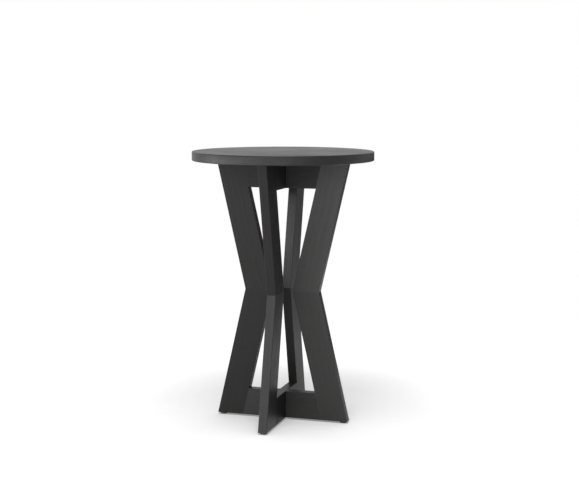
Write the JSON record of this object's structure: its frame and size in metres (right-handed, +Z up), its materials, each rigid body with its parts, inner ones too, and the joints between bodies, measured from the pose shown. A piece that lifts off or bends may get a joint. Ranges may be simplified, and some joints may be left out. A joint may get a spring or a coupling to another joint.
{
  "type": "wine table",
  "caption": "Small round wine table in dark satin wood: a disc top on crossed hourglass panels of slanted boards, with levelling glides under the feet.",
  "frame": {"origin": "on the floor under the centre of the round top", "axes": "+X to the right along one panel, +Y to the back along the other, +Z up"},
  "size_m": [0.5079, 0.508, 0.762],
  "materials": {
    "stained_wood": "charcoal stain under satin lacquer",
    "bare_wood": "planed beech, unfinished",
    "brass": "as machined",
    "zinc_plated_steel": "zinc plated",
    "black_nylon": "moulded, fine texture"
  },
  "bodies": {
    "table": {"table_top": "stained_wood", "upper_leg_right": "stained_wood", "upper_leg_back": "stained_wood", "upper_leg_left": "stained_wood", "upper_leg_front": "stained_wood", "lower_leg_right": "stained_wood", "lower_leg_back": "stained_wood", "lower_leg_left": "stained_wood", "lower_leg_front": "stained_wood", "top_rail_left_right": "stained_wood", "bottom_rail_left_right": "stained_wood", "top_rail_front_back": "stained_wood", "bottom_rail_front_back": "stained_wood", "waist_tenons": "bare_wood", "top_rail_tenons": "bare_wood", "bottom_rail_tenons": "bare_wood", "top_inserts": "brass", "foot_inserts": "brass", "top_screws": "zinc_plated_steel", "top_washers": "zinc_plated_steel"},
    "glide_right": {"glide_pad_right": "black_nylon", "glide_stem_right": "zinc_plated_steel"},
    "glide_back": {"glide_pad_back": "black_nylon", "glide_stem_back": "zinc_plated_steel"},
    "glide_left": {"glide_pad_left": "black_nylon", "glide_stem_left": "zinc_plated_steel"},
    "glide_front": {"glide_pad_front": "black_nylon", "glide_stem_front": "zinc_plated_steel"}
  },
  "joints": [
    {"name": "level_right", "type": "slide", "parent": "table", "child": "glide_right", "axis": [0, 0, -1], "range_m": [0, 0.01]},
    {"name": "level_back", "type": "slide", "parent": "table", "child": "glide_back", "axis": [0, 0, -1], "range_m": [0, 0.01]},
    {"name": "level_left", "type": "slide", "parent": "table", "child": "glide_left", "axis": [0, 0, -1], "range_m": [0, 0.01]},
    {"name": "level_front", "type": "slide", "parent": "table", "child": "glide_front", "axis": [0, 0, -1], "range_m": [0, 0.01]}
  ]
}
